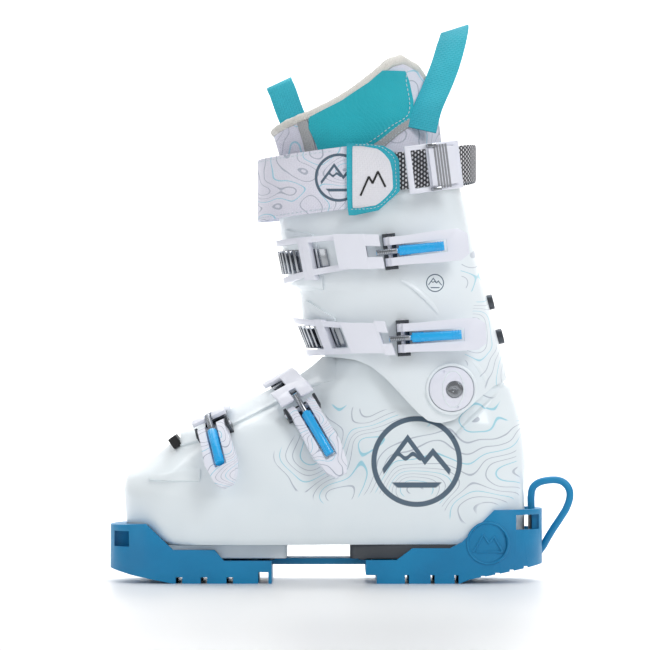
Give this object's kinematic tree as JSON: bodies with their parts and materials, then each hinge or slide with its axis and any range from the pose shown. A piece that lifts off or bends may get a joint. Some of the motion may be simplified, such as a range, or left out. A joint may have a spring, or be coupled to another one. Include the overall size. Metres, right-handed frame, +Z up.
{
  "type": "alpine ski boot",
  "caption": "Left alpine ski boot with hinged cuff, four ladder buckles, power strap, padded liner and a slip-on rubber walking sole.",
  "frame": {"origin": "ground face of the middle lug of the heel tread, on the boot's centre line", "axes": "+X from toe to heel, +Y towards the inner side of the foot, +Z up the leg"},
  "size_m": [0.3248, 0.1414, 0.3899],
  "materials": {
    "shell_white": "satin",
    "buckle_white": "gloss",
    "protector_blue": "matte",
    "barrel_blue": "gloss",
    "chrome": "polished",
    "dark_steel": "satin",
    "liner_fabric": "matte",
    "turquoise_fabric": "matte",
    "binding_cream": "matte",
    "webbing_grey": "matte",
    "sole_grey": "matte",
    "sole_dark": "matte",
    "seal_black": "matte",
    "footbed_blue": "matte"
  },
  "bodies": {
    "boot": {"lower_shell": "shell_white", "toe_seal": "seal_black", "toe_sole": "sole_grey", "heel_sole": "sole_dark", "sole_screws": "dark_steel", "boot_board": "sole_dark", "footbed": "footbed_blue", "liner_foot": "liner_fabric", "toe_ladder": "chrome", "instep_ladder": "chrome", "toe_bracket": "dark_steel", "instep_bracket": "dark_steel", "shell_rivets": "chrome", "pivot_bosses": "chrome", "pivot_screw": "chrome", "inner_pivot": "chrome", "sole_protector": "protector_blue", "protector_handle": "protector_blue"},
    "cuff_group": {"cuff": "shell_white", "disc_seat": "shell_white", "canting_disc": "shell_white", "upper_ladder": "chrome", "lower_ladder": "chrome", "upper_bracket": "dark_steel", "lower_bracket": "dark_steel", "cuff_rivets": "chrome", "spine_bolts": "dark_steel", "liner_cuff": "liner_fabric", "liner_tongue": "liner_fabric", "liner_binding": "binding_cream", "front_loop": "turquoise_fabric", "rear_loop": "turquoise_fabric", "power_strap": "liner_fabric", "strap_tab": "turquoise_fabric", "strap_webbing": "webbing_grey", "strap_frame": "buckle_white", "strap_pins": "chrome"},
    "strap_cam": {"cam_lever": "buckle_white"},
    "upper_lever_arm": {"upper_lever": "buckle_white"},
    "upper_catch": {"upper_bail": "buckle_white", "upper_barrel": "barrel_blue"},
    "lower_lever_arm": {"lower_lever": "buckle_white"},
    "lower_catch": {"lower_bail": "buckle_white", "lower_barrel": "barrel_blue"},
    "instep_lever_arm": {"instep_lever": "buckle_white"},
    "instep_catch": {"instep_bail": "buckle_white", "instep_barrel": "barrel_blue"},
    "toe_lever_arm": {"toe_lever": "buckle_white"},
    "toe_catch": {"toe_bail": "buckle_white", "toe_barrel": "barrel_blue"}
  },
  "joints": [
    {"name": "cuff_flex", "type": "hinge", "parent": "boot", "child": "cuff_group", "pos_m": [0.0238, 0, 0.1347], "axis": [0, -1, 0], "range_deg": [0, 6], "stiffness_Nm_per_rad": 400},
    {"name": "upper_lever_open", "type": "hinge", "parent": "cuff_group", "child": "upper_lever_arm", "pos_m": [-0.0207, -0.0628, 0.2296], "axis": [0.1045, 0, -0.9945], "range_deg": [0, 120]},
    {"name": "upper_catch_follow", "type": "hinge", "parent": "upper_lever_arm", "child": "upper_catch", "pos_m": [-0.01076, -0.0648, 0.23064], "axis": [0.1045, 0, -0.9945], "range_deg": [-120, 0]},
    {"name": "lower_lever_open", "type": "hinge", "parent": "cuff_group", "child": "lower_lever_arm", "pos_m": [-0.0117, -0.0588, 0.1702], "axis": [0.06, 0, -0.9982], "range_deg": [0, 70]},
    {"name": "lower_catch_follow", "type": "hinge", "parent": "lower_lever_arm", "child": "lower_catch", "pos_m": [-0.00172, -0.0608, 0.1708], "axis": [0.06, 0, -0.9982], "range_deg": [-70, 0]},
    {"name": "instep_lever_open", "type": "hinge", "parent": "boot", "child": "instep_lever_arm", "pos_m": [-0.0814, -0.0442, 0.1219], "axis": [-0.8732, -0.123, -0.4715], "range_deg": [0, 120]},
    {"name": "instep_catch_follow", "type": "hinge", "parent": "instep_lever_arm", "child": "instep_catch", "pos_m": [-0.0766, -0.0489, 0.11423], "axis": [-0.8732, -0.123, -0.4715], "range_deg": [-120, 0]},
    {"name": "toe_lever_open", "type": "hinge", "parent": "boot", "child": "toe_lever_arm", "pos_m": [-0.1428, -0.037, 0.1067], "axis": [-0.8988, 0.1571, -0.4094], "range_deg": [0, 120]},
    {"name": "toe_catch_follow", "type": "hinge", "parent": "toe_lever_arm", "child": "toe_catch", "pos_m": [-0.14157, -0.04525, 0.10084], "axis": [-0.8988, 0.1571, -0.4094], "range_deg": [-120, 0]},
    {"name": "strap_cam_open", "type": "hinge", "parent": "cuff_group", "child": "strap_cam", "pos_m": [0.00896, -0.07221, 0.28737], "axis": [0.1275, 0.0263, -0.9915], "range_deg": [0, 80]}
  ],
  "couplings": [
    {"joint": "upper_catch_follow", "follows": "upper_lever_open", "ratio": -1},
    {"joint": "lower_catch_follow", "follows": "lower_lever_open", "ratio": -1},
    {"joint": "instep_catch_follow", "follows": "instep_lever_open", "ratio": -1},
    {"joint": "toe_catch_follow", "follows": "toe_lever_open", "ratio": -1}
  ]
}
